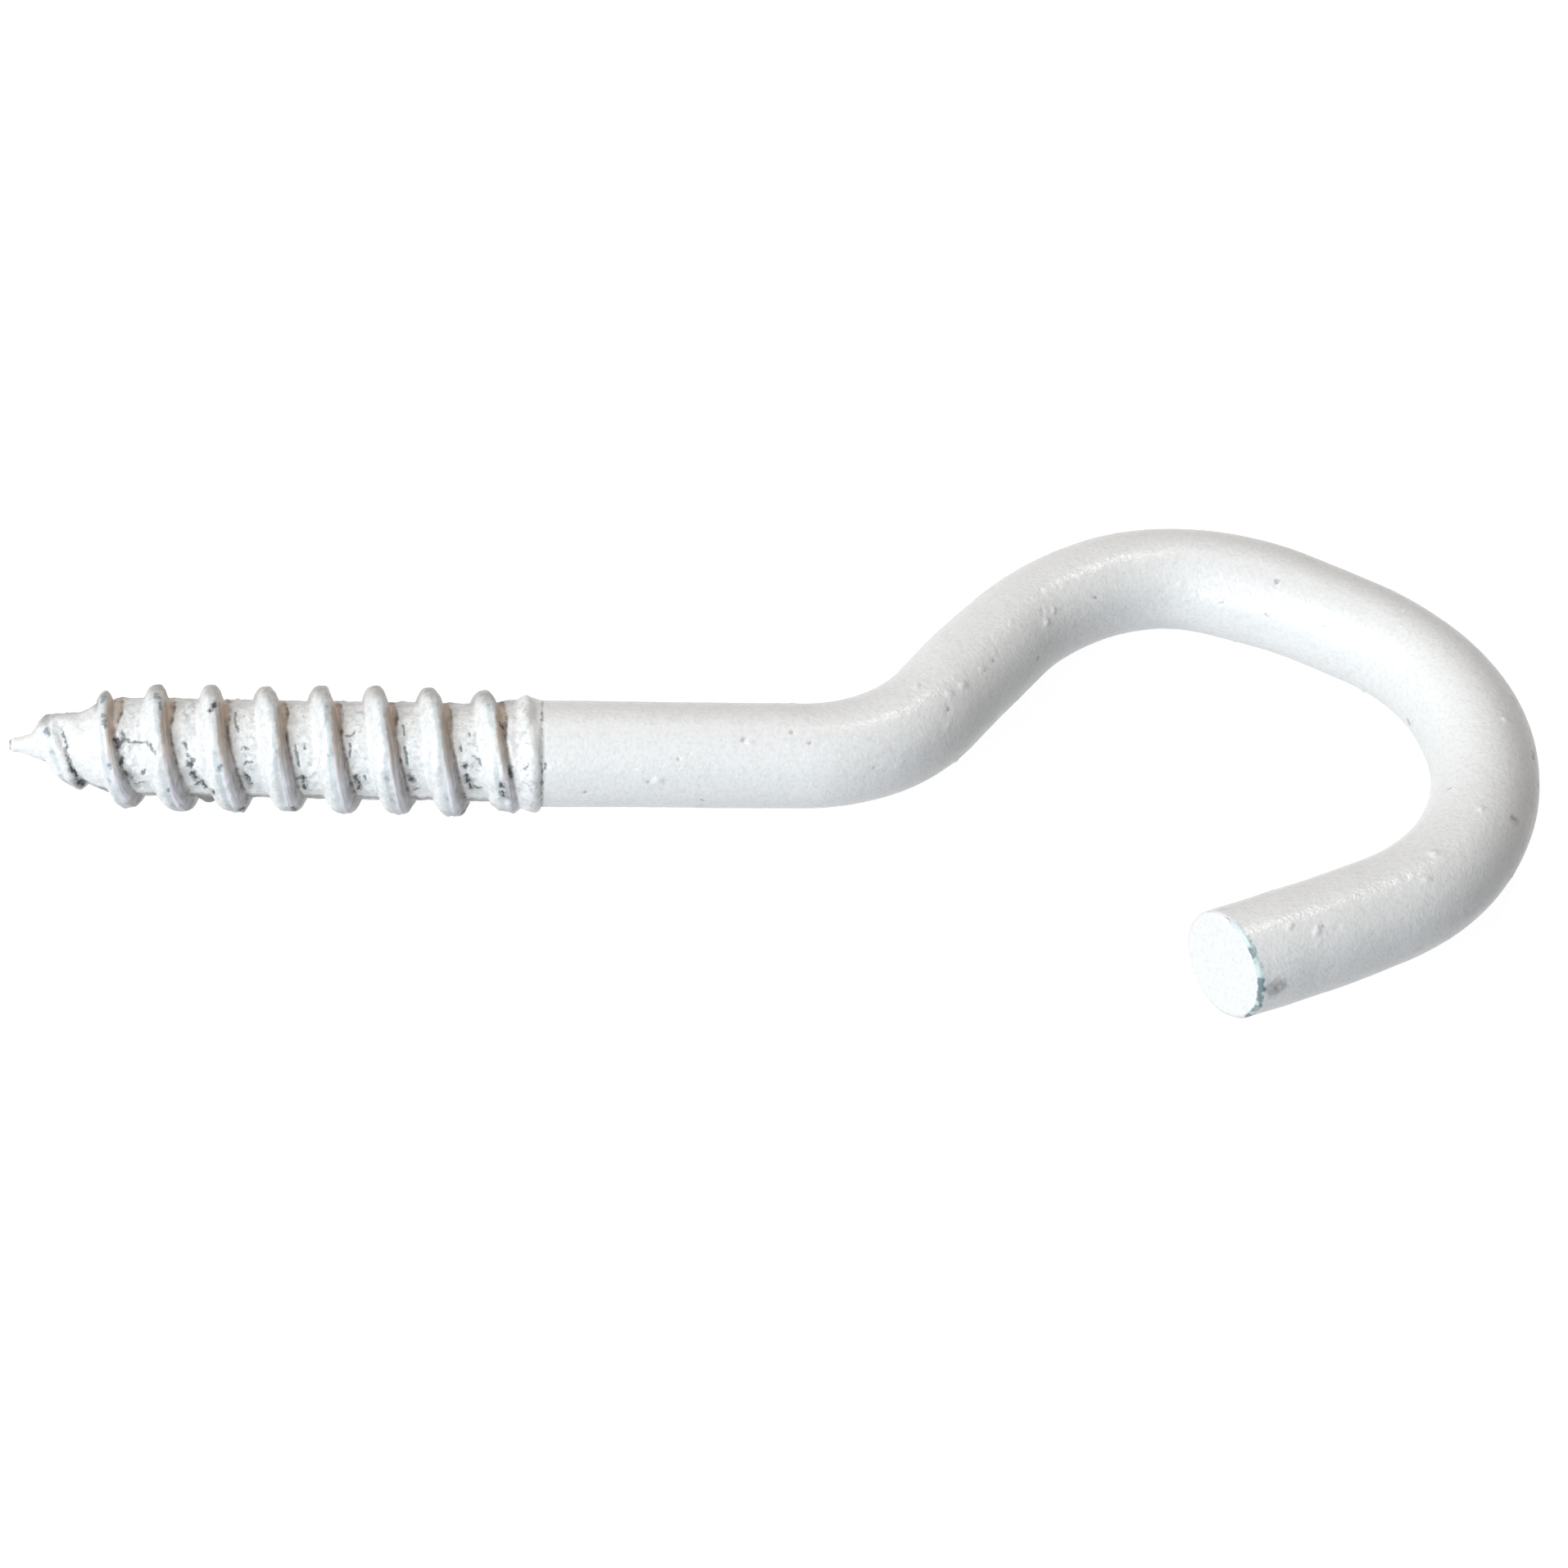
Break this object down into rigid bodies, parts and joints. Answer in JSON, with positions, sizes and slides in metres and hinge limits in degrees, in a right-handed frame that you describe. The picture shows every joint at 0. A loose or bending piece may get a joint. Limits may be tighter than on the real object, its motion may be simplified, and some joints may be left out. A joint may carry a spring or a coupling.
{
  "type": "screw hook",
  "caption": "Open hook bent from coated round steel wire, with a coarse wood thread and a gimlet point for screwing into a wall, beam or ceiling.",
  "frame": {"origin": "on the shank's axis at the upper end of the thread, where the surface that it is screwed into lies", "axes": "+X along the shank from the point towards the hook; +Y the side that the neck bends to, in the hook's plane; +Z square to the hook's plane, up as it lies flat"},
  "size_m": [0.0721, 0.0301, 0.006],
  "materials": {
    "white_coat": "satin white coat, thick in the thread and grimy at its flanks"
  },
  "bodies": {
    "root": {"screw_hook": "white_coat"}
  },
  "joints": []
}
